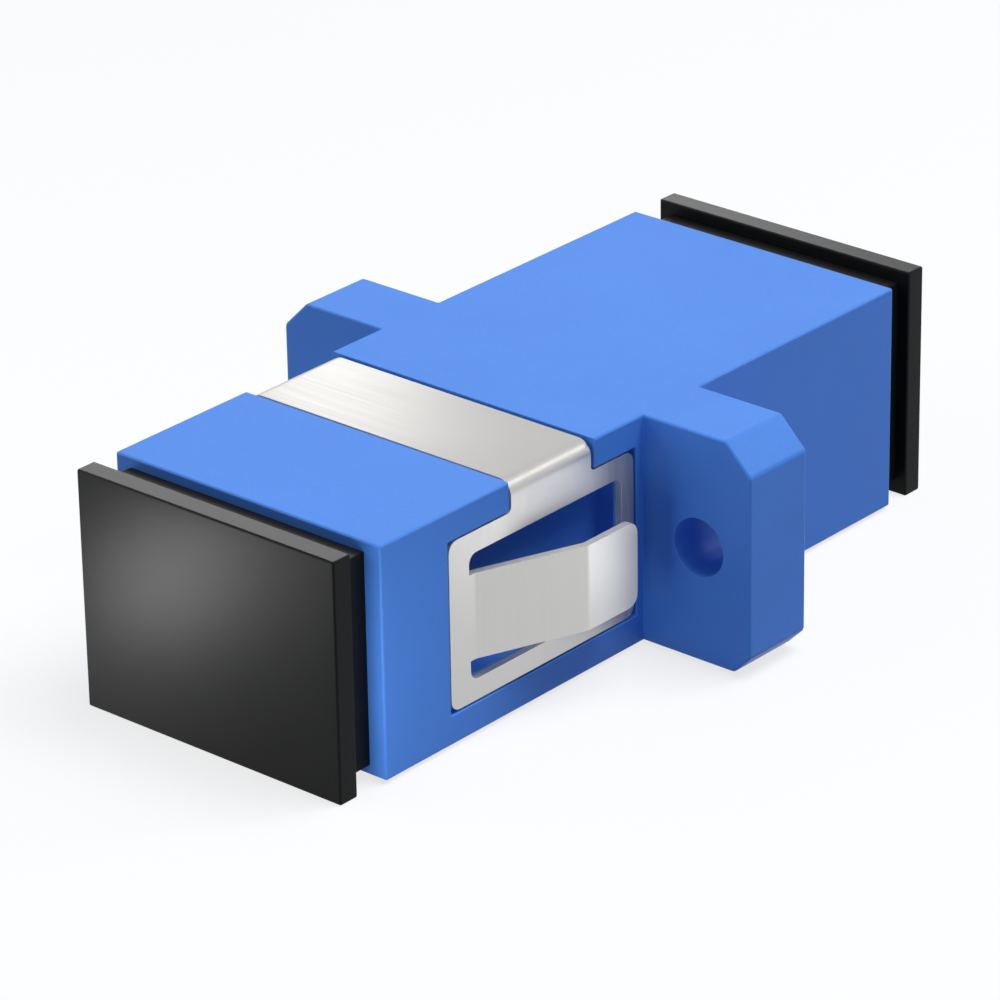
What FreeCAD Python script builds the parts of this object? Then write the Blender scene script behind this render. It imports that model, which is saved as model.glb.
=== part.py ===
"""SC simplex fibre adapter with a flange, a spring clip for panels and two dust caps.

The frame has its origin on the port axis, level with the front face of the flange. +Y runs
along the ports, from the clip side to the plain side, +X across the flange and +Z up to the
face that the clip's strap crosses. All lengths are in millimetres.
"""

import FreeCAD, Part
import math
import os
from types import SimpleNamespace

import Sketcher

SIZES = {
    # Moulded housing, with the flange that its two screws go through.
    "side_wall": 1.875,
    "top_wall": 0.875,
    "front_length": 14.4,
    "rear_length": 11.9,
    "flange_thickness": 3.3,
    "flange_top_bevel": 1.15,
    "flange_bottom_bevel": 0.75,
    "flange_bevel_blend": 0.3,
    "screw_offset": 2.6,
    "screw_margin": 2.4,
    "screw_hole_diameter": 2.3,
    "edge_radius": 0.1,
    # The two ports and the partition between them.
    "port_width": 9.05,
    "port_height": 7.45,
    "port_corner_radius": 0.3,
    "mouth_chamfer": 0.3,
    "partition_thickness": 1.6,
    "keyway_width": 2.4,
    "keyway_length": 8.0,
    # Seat of the clip in the housing.
    "seat_sink": 0.05,
    "seat_gap": 0.09,
    "tongue_pocket_floor": 0.675,
    # Clip, folded from one strip of spring steel.
    "sheet_thickness": 0.3,
    "bend_radius": 0.3,
    "bend_relief": 0.1,
    "strap_width": 4.6,
    "strap_setback": 2.85,
    "frame_length": 10.28,
    "frame_setback": 0.5,
    "frame_margin": 1.25,
    "frame_rail": 0.85,
    "frame_front_bar": 1.08,
    "frame_back_bar": 0.7,
    "frame_corner_radius": 0.45,
    "neck_radius": 0.2,
    "window_corner_radius": 0.4,
    "tongue_slot": 0.8,
    "tongue_root": 0.3,
    "tongue_ramp": 4.3,
    "tongue_rise": 1.7,
    "tongue_end_radius": 0.5,
    "panel_gap": 2.35,
    # Latch inserts, each a plate with a sleeve barrel and two hooks.
    "insert_clearance": 0.05,
    "insert_plate_thickness": 1.2,
    "barrel_wall": 0.65,
    "barrel_lip_length": 0.5,
    "barrel_lip_clearance": 0.15,
    "barrel_lead_in": 0.3,
    "hook_reach": 8.0,
    "hook_thickness": 0.65,
    "hook_width": 3.0,
    "barb_height": 0.55,
    "barb_length": 1.5,
    "barb_crest": 0.3,
    "barb_slope": 0.2,
    # Split alignment sleeve.
    "sleeve_length": 11.4,
    "sleeve_bore": 2.5,
    "sleeve_wall": 0.35,
    "sleeve_slit": 0.5,
    "sleeve_chamfer": 0.15,
    "sleeve_side_clearance": 0.1,
    "sleeve_end_clearance": 0.1,
    # Dust caps.
    "cap_plate_inset": 0.2,
    "cap_plate_overhang": 0.15,
    "cap_plate_thickness": 0.9,
    "cap_plate_radius": 0.08,
    "cap_collar_side": 1.125,
    "cap_collar_top": 0.475,
    "cap_collar_length": 1.3,
    "cap_stem_length": 5.2,
    "cap_stem_wall": 0.65,
    "cap_stem_chamfer": 0.25,
    "cap_clearance": 0.05,
}

PLANES = {"XY": ("XY_Plane", 1), "XZ": ("XZ_Plane", -1), "YZ": ("YZ_Plane", 1)}
ORIGIN_POINT = (-1, 1)
NEAR = 1e-4


class Size:
    """A length that carries its value and the expression that ties it to the sheet."""

    def __init__(self, value, text):
        self.value = value
        self.text = text

    def __neg__(self):
        return Size(-self.value, f"(-{self.text})")

    def __add__(self, other):
        return Size(self.value + other.value, f"({self.text} + {other.text})")

    def __sub__(self, other):
        return Size(self.value - other.value, f"({self.text} - {other.text})")

    def __mul__(self, factor):
        return Size(self.value * factor, f"({self.text} * {factor})")

    def __truediv__(self, divisor):
        return Size(self.value / divisor, f"({self.text} / {divisor})")


ZERO = Size(0.0, "0")


def make_sheet(doc):
    """Write the driving dimensions to a sheet and return them as sizes tied to its cells."""
    sheet = doc.addObject("Spreadsheet::Sheet", "Sizes")
    for row, (alias, value) in enumerate(SIZES.items(), start=1):
        sheet.set(f"A{row}", alias.replace("_", " "))
        sheet.set(f"B{row}", str(value))
        sheet.setAlias(f"B{row}", alias)
    doc.recompute()
    return SimpleNamespace(
        **{alias: Size(float(sheet.get(alias)), f"Sizes.{alias}") for alias in SIZES}
    )


def derive_sizes(sizes):
    """Add the sizes that follow from the sheet, so that walls and margins keep their own."""
    sizes.housing_width = sizes.port_width + sizes.side_wall * 2
    sizes.housing_height = sizes.port_height + sizes.top_wall * 2
    sizes.screw_spacing = sizes.housing_width + sizes.screw_offset * 2
    sizes.flange_width = sizes.screw_spacing + sizes.screw_margin * 2
    sizes.seat_depth = sizes.sheet_thickness + sizes.seat_sink
    sizes.frame_height = sizes.housing_height - sizes.frame_margin * 2
    sizes.window_height = sizes.frame_height - sizes.frame_rail * 2
    sizes.tongue_width = sizes.window_height - sizes.tongue_slot * 2
    sleeve_side = sizes.sleeve_wall + sizes.sleeve_side_clearance
    sizes.sleeve_seat_diameter = sizes.sleeve_bore + sleeve_side * 2
    sizes.barrel_diameter = sizes.sleeve_seat_diameter + sizes.barrel_wall * 2
    sizes.cap_plate_width = sizes.housing_width - sizes.cap_plate_inset * 2
    sizes.cap_plate_height = sizes.housing_height + sizes.cap_plate_overhang * 2
    sizes.cap_collar_width = sizes.port_width + sizes.cap_collar_side * 2
    sizes.cap_collar_height = sizes.port_height + sizes.cap_collar_top * 2


def new_body(doc, label):
    """Start an empty body whose label names the piece."""
    body = doc.addObject("PartDesign::Body", label)
    body.Label = label
    return body


def origin_feature(body, role):
    """Find a plane or an axis of the body's own origin."""
    return next(each for each in body.Origin.OriginFeatures if each.Role == role)


def rectangle(left, right, bottom, top):
    """Corners of an upright rectangle."""
    return [(left, bottom), (right, bottom), (right, top), (left, top)]


def centred_rectangle(width, height):
    """Corners of an upright rectangle about the origin."""
    return rectangle(-width / 2, width / 2, -height / 2, height / 2)


def tie(sketch, kind, geometry, point, distance):
    """Hold a point at a distance from the sketch's origin, along X or Y."""
    number = sketch.addConstraint(
        Sketcher.Constraint(kind, *ORIGIN_POINT, geometry, point, distance.value)
    )
    sketch.setExpression(f"Constraints[{number}]", distance.text)


def draw_polygon(sketch, points):
    """Draw a closed outline: upright and level edges stay so, and each run is placed once."""
    first = sketch.GeometryCount
    count = len(points)
    for index in range(count):
        start, end = points[index], points[(index + 1) % count]
        sketch.addGeometry(
            Part.LineSegment(
                FreeCAD.Vector(start[0].value, start[1].value, 0),
                FreeCAD.Vector(end[0].value, end[1].value, 0),
            ),
            False,
        )
    for index in range(count):
        edge, following = first + index, first + (index + 1) % count
        start, end = points[index], points[(index + 1) % count]
        sketch.addConstraint(Sketcher.Constraint("Coincident", edge, 2, following, 1))
        if start[0].text == end[0].text:
            sketch.addConstraint(Sketcher.Constraint("Vertical", edge))
        else:
            tie(sketch, "DistanceX", following, 1, end[0])
        if start[1].text == end[1].text:
            sketch.addConstraint(Sketcher.Constraint("Horizontal", edge))
        else:
            tie(sketch, "DistanceY", following, 1, end[1])


def draw_circle(sketch, across, up, radius):
    """Draw a circle about a point of the sketch."""
    circle = sketch.addGeometry(
        Part.Circle(
            FreeCAD.Vector(across.value, up.value, 0), FreeCAD.Vector(0, 0, 1), radius.value
        ),
        False,
    )
    number = sketch.addConstraint(Sketcher.Constraint("Radius", circle, radius.value))
    sketch.setExpression(f"Constraints[{number}]", radius.text)
    tie(sketch, "DistanceX", circle, 3, across)
    tie(sketch, "DistanceY", circle, 3, up)


def new_sketch(body, name, plane, level, polygons=(), circles=()):
    """Sketch outlines on a plane parallel to one of the body's origin planes."""
    role, facing = PLANES[plane]
    sketch = body.newObject("Sketcher::SketchObject", name)
    sketch.AttachmentSupport = [(origin_feature(body, role), "")]
    sketch.MapMode = "FlatFace"
    sketch.setExpression("AttachmentOffset.Base.z", (level * facing).text)
    for points in polygons:
        draw_polygon(sketch, points)
    for across, up, radius in circles:
        draw_circle(sketch, across, up, radius)
    return sketch


def finish_feature(body, feature, adds):
    """Recompute a feature and make sure that it added or removed material."""
    before = feature.BaseFeature.Shape.Volume if feature.BaseFeature else 0.0
    body.Document.recompute()
    change = feature.Shape.Volume - before
    if (change > 0) != adds:
        raise RuntimeError(f"{body.Label}: {feature.Name} changed the volume by {change}")
    return feature


def extrude(body, kind, name, plane, low, high, polygons=(), circles=()):
    """Pad or pocket outlines from low to high along the axis that the plane faces."""
    feature = body.newObject(f"PartDesign::{kind}", name)
    feature.Profile = new_sketch(body, f"{name}Sketch", plane, low, polygons, circles)
    facing_up = PLANES[plane][1] > 0
    adds = kind == "Pad"
    feature.Reversed = facing_up != adds
    feature.setExpression("Length", (high - low).text)
    return finish_feature(body, feature, adds)


def pad(body, name, plane, low, high, polygons=(), circles=()):
    """Add the prism of the outlines from low to high."""
    return extrude(body, "Pad", name, plane, low, high, polygons, circles)


def pocket(body, name, plane, low, high, polygons=(), circles=()):
    """Remove the prism of the outlines from low to high."""
    return extrude(body, "Pocket", name, plane, low, high, polygons, circles)


def turn(body, kind, name, points):
    """Revolve a half profile, drawn as radius and Y, about the port axis."""
    feature = body.newObject(f"PartDesign::{kind}", name)
    profile = new_sketch(body, f"{name}Sketch", "XY", ZERO, [points])
    feature.Profile = profile
    feature.ReferenceAxis = (profile, ["V_Axis"])
    feature.Angle = 360
    return finish_feature(body, feature, kind == "Revolution")


def mirror_across(body, name, originals):
    """Repeat features on the other side of the body's YZ plane."""
    feature = body.newObject("PartDesign::Mirrored", name)
    feature.Originals = originals
    feature.MirrorPlane = (origin_feature(body, "YZ_Plane"), [""])
    body.Tip = feature
    body.Document.recompute()
    return feature


def dress(body, kind, name, measure, amount, picks):
    """Fillet or chamfer the edges of the body's last feature that a test picks."""
    base = body.Tip
    names = [
        f"Edge{number}"
        for number, edge in enumerate(base.Shape.Edges, start=1)
        if picks(edge)
    ]
    feature = body.newObject(f"PartDesign::{kind}", name)
    feature.Base = (base, names)
    feature.setExpression(measure, amount.text)
    body.Document.recompute()
    return feature


def fillet(body, name, radius, picks):
    """Round the picked edges."""
    return dress(body, "Fillet", name, "Radius", radius, picks)


def chamfer(body, name, length, picks):
    """Bevel the picked edges."""
    return dress(body, "Chamfer", name, "Size", length, picks)


def extent(edge, axis):
    """Lowest and highest coordinate of an edge along an axis."""
    box = edge.BoundBox
    return getattr(box, f"{axis}Min"), getattr(box, f"{axis}Max")


def level_at(edge, axis, place):
    """Test whether an edge lies flat at one place of an axis."""
    low, high = extent(edge, axis)
    return abs(low - place.value) < NEAR and abs(high - place.value) < NEAR


def beside(edge, axis, place):
    """Test whether an edge lies flat at one place of an axis, on either side of zero."""
    return level_at(edge, axis, place) or level_at(edge, axis, -place)


def within(edge, axis, reach):
    """Test whether an edge stays inside a distance from zero."""
    low, high = extent(edge, axis)
    return -low < reach.value + NEAR and high < reach.value + NEAR


def mating_plane(sizes):
    """Y of the plane where the two ferrules meet, halfway between the mouths."""
    return (sizes.flange_thickness + sizes.rear_length - sizes.front_length) / 2


def clip_levels(sizes):
    """Inner and outer faces of the clip's legs and strap, seated in the housing."""
    leg_inner = sizes.housing_width / 2 - sizes.seat_depth
    strap_inner = sizes.housing_height / 2 - sizes.seat_depth
    frame_back = -sizes.frame_setback
    frame_front = frame_back - sizes.frame_length
    return SimpleNamespace(
        leg_inner=leg_inner,
        leg_outer=leg_inner + sizes.sheet_thickness,
        strap_inner=strap_inner,
        strap_outer=strap_inner + sizes.sheet_thickness,
        strap_back=-sizes.strap_setback,
        strap_front=-sizes.strap_setback - sizes.strap_width,
        frame_back=frame_back,
        frame_front=frame_front,
        frame_top=sizes.frame_height / 2,
        window_back=frame_back - sizes.frame_back_bar,
        window_front=frame_front + sizes.frame_front_bar,
        window_top=sizes.window_height / 2,
    )


def strap_section(leg, strap, leg_outside, strap_outside, foot):
    """Section of a band over the top and down both sides, from its inner to its outer faces."""
    return [
        (-leg_outside, foot),
        (-leg, foot),
        (-leg, strap),
        (leg, strap),
        (leg, foot),
        (leg_outside, foot),
        (leg_outside, strap_outside),
        (-leg_outside, strap_outside),
    ]


def make_housing(doc, sizes):
    """Mould the one-piece housing: flanged outline, ports, partition and the clip's seat."""
    body = new_body(doc, "housing")
    half_width = sizes.housing_width / 2
    half_height = sizes.housing_height / 2
    flange = sizes.flange_width / 2
    front = -sizes.front_length
    rear = sizes.flange_thickness + sizes.rear_length
    right_side = [
        (half_width, front),
        (half_width, ZERO),
        (flange, ZERO),
        (flange, sizes.flange_thickness),
        (half_width, sizes.flange_thickness),
        (half_width, rear),
    ]
    left_side = [(-across, along) for across, along in reversed(right_side)]
    pad(body, "Outline", "XY", -half_height, half_height, [right_side + left_side])
    chamfer(
        body,
        "FlangeTopBevels",
        sizes.flange_top_bevel,
        lambda edge: beside(edge, "X", flange) and level_at(edge, "Z", half_height),
    )
    chamfer(
        body,
        "FlangeBottomBevels",
        sizes.flange_bottom_bevel,
        lambda edge: beside(edge, "X", flange) and level_at(edge, "Z", -half_height),
    )
    fillet(
        body,
        "FlangeBevelBlends",
        sizes.flange_bevel_blend,
        lambda edge: runs_across_ear(edge, half_width),
    )
    fillet(
        body,
        "OuterEdges",
        sizes.edge_radius,
        lambda edge: is_outer_edge(edge, half_width, half_height, front, rear),
    )
    cut_ports(body, sizes, front, rear)
    cut_clip_seat(body, sizes)
    pocket(
        body,
        "ScrewHoles",
        "XZ",
        ZERO,
        sizes.flange_thickness,
        circles=[
            (-sizes.screw_spacing / 2, ZERO, sizes.screw_hole_diameter / 2),
            (sizes.screw_spacing / 2, ZERO, sizes.screw_hole_diameter / 2),
        ],
    )
    return body


def runs_across_ear(edge, half_width):
    """Test for an edge along Y, through the thickness of one of the flange's ears."""
    left, right = extent(edge, "X")
    low, high = extent(edge, "Z")
    straight = right - left < NEAR and high - low < NEAR
    return straight and abs(left) > half_width.value + NEAR


def is_outer_edge(edge, half_width, half_height, front, rear):
    """Test for the edges of the top and bottom outlines and the upright ones at the mouths."""
    at_mouth = level_at(edge, "Y", front) or level_at(edge, "Y", rear)
    upright = at_mouth and beside(edge, "X", half_width)
    outline = beside(edge, "Z", half_height) and not runs_across_ear(edge, half_width)
    return upright or outline


def cut_ports(body, sizes, front, rear):
    """Open a port at each end, with its lead-in and keyway, and the partition's window."""
    middle = mating_plane(sizes)
    partition_front = middle - sizes.partition_thickness / 2
    partition_rear = middle + sizes.partition_thickness / 2
    half_width = sizes.port_width / 2
    half_height = sizes.port_height / 2
    port = centred_rectangle(sizes.port_width, sizes.port_height)
    pocket(body, "FrontPort", "XZ", front, partition_front, [port])
    pocket(body, "RearPort", "XZ", partition_rear, rear, [port])
    fillet(
        body,
        "PortCorners",
        sizes.port_corner_radius,
        lambda edge: beside(edge, "X", half_width) and beside(edge, "Z", half_height),
    )
    chamfer(
        body,
        "MouthLeadIn",
        sizes.mouth_chamfer,
        lambda edge: (level_at(edge, "Y", front) or level_at(edge, "Y", rear))
        and within(edge, "X", half_width)
        and within(edge, "Z", half_height),
    )
    window_radius = sizes.barrel_diameter / 2 + sizes.insert_clearance
    pocket(
        body,
        "PartitionWindow",
        "XZ",
        partition_front,
        partition_rear,
        circles=[(ZERO, ZERO, window_radius)],
    )
    keyway = rectangle(
        -sizes.keyway_width / 2, sizes.keyway_width / 2, -sizes.housing_height / 2, ZERO
    )
    pocket(body, "FrontKeyway", "XZ", front, front + sizes.keyway_length, [keyway])
    pocket(body, "RearKeyway", "XZ", rear - sizes.keyway_length, rear, [keyway])


def cut_clip_seat(body, sizes):
    """Sink the strap's channel, the two leg recesses and the pockets behind the tongues."""
    clip = clip_levels(sizes)
    gap = sizes.seat_gap
    half_width = sizes.housing_width / 2
    half_height = sizes.housing_height / 2
    recess_top = clip.frame_top + gap
    channel = strap_section(
        clip.leg_inner, clip.strap_inner, half_width, half_height, clip.window_top
    )
    pocket(
        body, "StrapChannel", "XZ", clip.strap_front - gap, clip.strap_back + gap, [channel]
    )
    recess = pocket(
        body,
        "LegRecess",
        "YZ",
        clip.leg_inner,
        half_width,
        [rectangle(clip.frame_front - gap, clip.frame_back + gap, -recess_top, recess_top)],
    )
    pocket_floor = sizes.port_width / 2 + sizes.tongue_pocket_floor
    tongue_pocket = pocket(
        body,
        "TonguePocket",
        "YZ",
        pocket_floor,
        clip.leg_inner,
        [
            rectangle(
                clip.window_front + gap,
                clip.window_back - gap,
                -clip.window_top + gap,
                clip.window_top - gap,
            )
        ],
    )
    mirror_across(body, "OtherLegSeat", [recess, tongue_pocket])
    fillet(
        body,
        "BendRelief",
        sizes.bend_radius + sizes.bend_relief,
        lambda edge: beside(edge, "X", clip.leg_inner) and level_at(edge, "Z", clip.strap_inner),
    )


def make_clip(doc, sizes):
    """Fold the panel clip: a strap, two framed legs and a sprung tongue in each frame."""
    body = new_body(doc, "panel_clip")
    clip = clip_levels(sizes)
    foot = (clip.window_top + clip.frame_top) / 2
    band = strap_section(
        clip.leg_inner, clip.strap_inner, clip.leg_outer, clip.strap_outer, foot
    )
    pad(body, "Strap", "XZ", clip.strap_front, clip.strap_back, [band])
    frame = pad(
        body,
        "Frame",
        "YZ",
        clip.leg_inner,
        clip.leg_outer,
        [
            rectangle(clip.frame_front, clip.frame_back, -clip.frame_top, clip.frame_top),
            rectangle(clip.window_front, clip.window_back, -clip.window_top, clip.window_top),
        ],
    )
    half_tongue = sizes.tongue_width / 2
    tongue = pad(
        body, "Tongue", "XY", -half_tongue, half_tongue, [tongue_section(sizes, clip)]
    )
    mirror_across(body, "OtherLeg", [frame, tongue])
    fold_edges(body, sizes, clip)
    return body


def tongue_mitre(sizes):
    """How far the inner corners of the tongue's bends lie behind the outer ones."""
    ramp, rise, sheet = sizes.tongue_ramp, sizes.tongue_rise, sizes.sheet_thickness
    slope = math.hypot(ramp.value, rise.value)
    return Size(
        sheet.value * (slope - ramp.value) / rise.value,
        f"({sheet.text} * (hypot({ramp.text}; {rise.text}) - {ramp.text}) / {rise.text})",
    )


def tongue_section(sizes, clip):
    """Section of the tongue: flat at its root, a ramp outwards and a flat end."""
    root = clip.window_front - sizes.frame_corner_radius
    ramp_start = clip.window_front + sizes.tongue_root
    ramp_end = ramp_start + sizes.tongue_ramp
    tip = -sizes.panel_gap
    mitre = tongue_mitre(sizes)
    return [
        (clip.leg_outer, root),
        (clip.leg_outer, ramp_start),
        (clip.leg_outer + sizes.tongue_rise, ramp_end),
        (clip.leg_outer + sizes.tongue_rise, tip),
        (clip.leg_inner + sizes.tongue_rise, tip),
        (clip.leg_inner + sizes.tongue_rise, ramp_end + mitre),
        (clip.leg_inner, ramp_start + mitre),
        (clip.leg_inner, root),
    ]


def fold_edges(body, sizes, clip):
    """Give the sheet its bends and its rounded corners."""
    outer_bend = sizes.bend_radius + sizes.sheet_thickness
    ramp_start = clip.window_front + sizes.tongue_root
    ramp_end = ramp_start + sizes.tongue_ramp
    mitre = tongue_mitre(sizes)
    raised_outer = clip.leg_outer + sizes.tongue_rise
    raised_inner = clip.leg_inner + sizes.tongue_rise
    fillet(
        body,
        "OuterBends",
        outer_bend,
        lambda edge: (
            beside(edge, "X", clip.leg_outer) and level_at(edge, "Z", clip.strap_outer)
        )
        or (beside(edge, "X", raised_outer) and level_at(edge, "Y", ramp_end))
        or (beside(edge, "X", clip.leg_inner) and level_at(edge, "Y", ramp_start + mitre)),
    )
    fillet(
        body,
        "InnerBends",
        sizes.bend_radius,
        lambda edge: (
            beside(edge, "X", clip.leg_inner) and level_at(edge, "Z", clip.strap_inner)
        )
        or (beside(edge, "X", raised_inner) and level_at(edge, "Y", ramp_end + mitre))
        or (beside(edge, "X", clip.leg_outer) and level_at(edge, "Y", ramp_start)),
    )
    fillet(
        body,
        "FrameCorners",
        sizes.frame_corner_radius,
        lambda edge: is_sheet_corner(
            edge, (clip.frame_front, clip.frame_back), clip.frame_top, sizes.sheet_thickness
        ),
    )
    fillet(
        body,
        "NeckCorners",
        sizes.neck_radius,
        lambda edge: is_sheet_corner(
            edge, (clip.strap_front, clip.strap_back), clip.frame_top, sizes.sheet_thickness
        ),
    )
    fillet(
        body,
        "WindowCorners",
        sizes.window_corner_radius,
        lambda edge: is_sheet_corner(
            edge, (clip.window_front, clip.window_back), clip.window_top, sizes.sheet_thickness
        ),
    )
    fillet(
        body,
        "TongueCorners",
        sizes.tongue_end_radius,
        lambda edge: is_sheet_corner(
            edge, (-sizes.panel_gap,), sizes.tongue_width / 2, sizes.sheet_thickness
        ),
    )


def is_sheet_corner(edge, alongs, height, thickness):
    """Test for an edge through a leg's sheet, at one of the places along Y and at +-height."""
    through = abs(edge.Length - thickness.value) < NEAR
    return (
        through
        and beside(edge, "Z", height)
        and any(level_at(edge, "Y", along) for along in alongs)
    )


def place(body, along, turned):
    """Put a piece drawn about its own face at its place along Y, turned for the rear port."""
    if turned:
        body.Placement = FreeCAD.Placement(
            FreeCAD.Vector(0, along.value, 0), FreeCAD.Rotation(FreeCAD.Vector(0, 0, 1), 180)
        )
    body.setExpression("Placement.Base.y", along.text)


def make_insert(doc, sizes, label, turned):
    """Mould a latch insert: a plate, the barrel that holds half the sleeve and two hooks.

    It is drawn with its mating face at zero and its hooks along -Y, then put in its port.
    """
    body = new_body(doc, label)
    clearance = sizes.insert_clearance * 2
    width = sizes.port_width - clearance
    height = sizes.port_height - clearance
    plate_back = -sizes.partition_thickness / 2
    plate_front = plate_back - sizes.insert_plate_thickness
    pad(body, "Plate", "XZ", plate_front, plate_back, [centred_rectangle(width, height)])
    fillet(
        body,
        "PlateCorners",
        sizes.port_corner_radius,
        lambda edge: beside(edge, "X", width / 2) and beside(edge, "Z", height / 2),
    )
    seat_end = -sizes.sleeve_length / 2 - sizes.sleeve_end_clearance
    barrel_end = seat_end - sizes.barrel_lip_length
    barrel_radius = sizes.barrel_diameter / 2
    turn(body, "Revolution", "Barrel", rectangle(ZERO, barrel_radius, barrel_end, ZERO))
    hook_middle = (width / 2 + barrel_radius) / 2
    hook_room = width / 2 - barrel_radius - sizes.hook_thickness
    outer = hook_middle + sizes.hook_thickness / 2
    inner = hook_middle - sizes.hook_thickness / 2
    hook = pad(
        body,
        "Hook",
        "XY",
        -sizes.hook_width / 2,
        sizes.hook_width / 2,
        [hook_section(sizes, plate_front, inner, outer)],
    )
    mirror_across(body, "OtherHook", [hook])
    seat_radius = sizes.sleeve_seat_diameter / 2
    lip_radius = sizes.sleeve_bore / 2 + sizes.barrel_lip_clearance
    bore = [
        (ZERO, barrel_end),
        (lip_radius + sizes.barrel_lead_in, barrel_end),
        (lip_radius, seat_end),
        (seat_radius, seat_end),
        (seat_radius, ZERO),
        (ZERO, ZERO),
    ]
    turn(body, "Groove", "BarrelBore", bore)
    fillet(
        body,
        "HookRoots",
        hook_room / 4,
        lambda edge: level_at(edge, "Y", plate_front)
        and (beside(edge, "X", outer) or beside(edge, "X", inner)),
    )
    place(body, mating_plane(sizes), turned)
    return body


def hook_section(sizes, plate_front, inner, outer):
    """Section of a hook: a springy arm with a barb, ramped towards the mouth, at its end."""
    root = plate_front + sizes.insert_plate_thickness / 2
    crest = inner - sizes.barb_height
    tip = -sizes.hook_reach
    catch = tip + sizes.barb_length
    return [
        (outer, root),
        (inner, root),
        (inner, catch),
        (crest, catch - sizes.barb_slope),
        (crest, catch - sizes.barb_slope - sizes.barb_crest),
        (inner, tip),
        (outer - sizes.barb_slope, tip),
        (outer, tip + sizes.barb_slope),
    ]


def make_sleeve(doc, sizes):
    """Turn the ceramic sleeve that aligns the two ferrules, and slit it along its top."""
    body = new_body(doc, "split_sleeve")
    bore = sizes.sleeve_bore / 2
    outside = bore + sizes.sleeve_wall
    mouth = bore + sizes.sleeve_chamfer
    end = sizes.sleeve_length / 2
    wall = [
        (mouth, -end),
        (outside, -end),
        (outside, end),
        (mouth, end),
        (bore, end - sizes.sleeve_chamfer),
        (bore, -end + sizes.sleeve_chamfer),
    ]
    turn(body, "Revolution", "Wall", wall)
    half_slit = sizes.sleeve_slit / 2
    pocket(body, "Slit", "XZ", -end, end, [rectangle(-half_slit, half_slit, ZERO, outside)])
    place(body, mating_plane(sizes), turned=False)
    return body


def make_dust_cap(doc, sizes, label, mouth, turned):
    """Mould a dust cap: a cover plate, a collar against the mouth and a hollow stem.

    It is drawn with the mouth's rim at zero and its plate along -Y, then put on its port.
    """
    body = new_body(doc, label)
    clearance = sizes.cap_clearance * 2
    width = sizes.port_width - clearance
    height = sizes.port_height - clearance
    wall = sizes.cap_stem_wall * 2
    collar_front = -sizes.cap_collar_length
    plate_front = collar_front - sizes.cap_plate_thickness
    plate = centred_rectangle(sizes.cap_plate_width, sizes.cap_plate_height)
    collar = centred_rectangle(sizes.cap_collar_width, sizes.cap_collar_height)
    pad(body, "Plate", "XZ", plate_front, collar_front, [plate])
    fillet(body, "PlateEdges", sizes.cap_plate_radius, lambda edge: True)
    pad(body, "Collar", "XZ", collar_front, ZERO, [collar])
    stem = centred_rectangle(width, height)
    pad(body, "Stem", "XZ", ZERO, sizes.cap_stem_length, [stem])
    fillet(
        body,
        "StemCorners",
        sizes.port_corner_radius,
        lambda edge: beside(edge, "X", width / 2) and beside(edge, "Z", height / 2),
    )
    chamfer(
        body,
        "StemLeadIn",
        sizes.cap_stem_chamfer,
        lambda edge: level_at(edge, "Y", sizes.cap_stem_length),
    )
    hollow = centred_rectangle(width - wall, height - wall)
    pocket(body, "Hollow", "XZ", collar_front, sizes.cap_stem_length, [hollow])
    place(body, mouth, turned)
    return body


def check_and_export(doc, bodies):
    """Stop at any failed object or bad solid, then write one STEP file for each piece."""
    for each in doc.Objects:
        if "Invalid" in each.State or "Error" in each.State:
            raise RuntimeError(f"{each.Name} failed: {each.State}")
    os.makedirs("parts", exist_ok=True)
    for body in bodies:
        shape = body.Shape
        if shape.isNull() or not shape.isValid() or len(shape.Solids) != 1:
            raise RuntimeError(f"{body.Label} is not one valid solid")
    for body in bodies:
        body.Shape.exportStep(f"parts/{body.Label}.step")


def main():
    """Build every piece in place and write it."""
    doc = FreeCAD.newDocument("sc_adapter")
    sizes = make_sheet(doc)
    derive_sizes(sizes)
    rear_mouth = sizes.flange_thickness + sizes.rear_length
    bodies = [
        make_housing(doc, sizes),
        make_clip(doc, sizes),
        make_insert(doc, sizes, "latch_insert_front", turned=False),
        make_insert(doc, sizes, "latch_insert_rear", turned=True),
        make_sleeve(doc, sizes),
        make_dust_cap(doc, sizes, "dust_cap_front", -sizes.front_length, turned=False),
        make_dust_cap(doc, sizes, "dust_cap_rear", rear_mouth, turned=True),
    ]
    doc.recompute()
    check_and_export(doc, bodies)


main()
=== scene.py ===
"""Looks of an SC simplex fibre adapter with a flange, a panel clip and two dust caps.

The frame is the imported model's: the origin lies on the port axis, level with the front face
of the flange, +Y runs along the ports to the plain side, +X across the flange and +Z up to
the face that the clip's strap crosses. New pieces are drawn in millimetres and turned to
metres when they are finished. Fields whose names end in _mm are in millimetres.
"""

import logging
import math
from collections.abc import Iterable, Sequence
from dataclasses import dataclass
from enum import Enum
from typing import Any

import bmesh
import bpy
from bmesh.types import BMEdge, BMesh, BMFace, BMVert
from mathutils import Matrix, Vector


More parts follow.
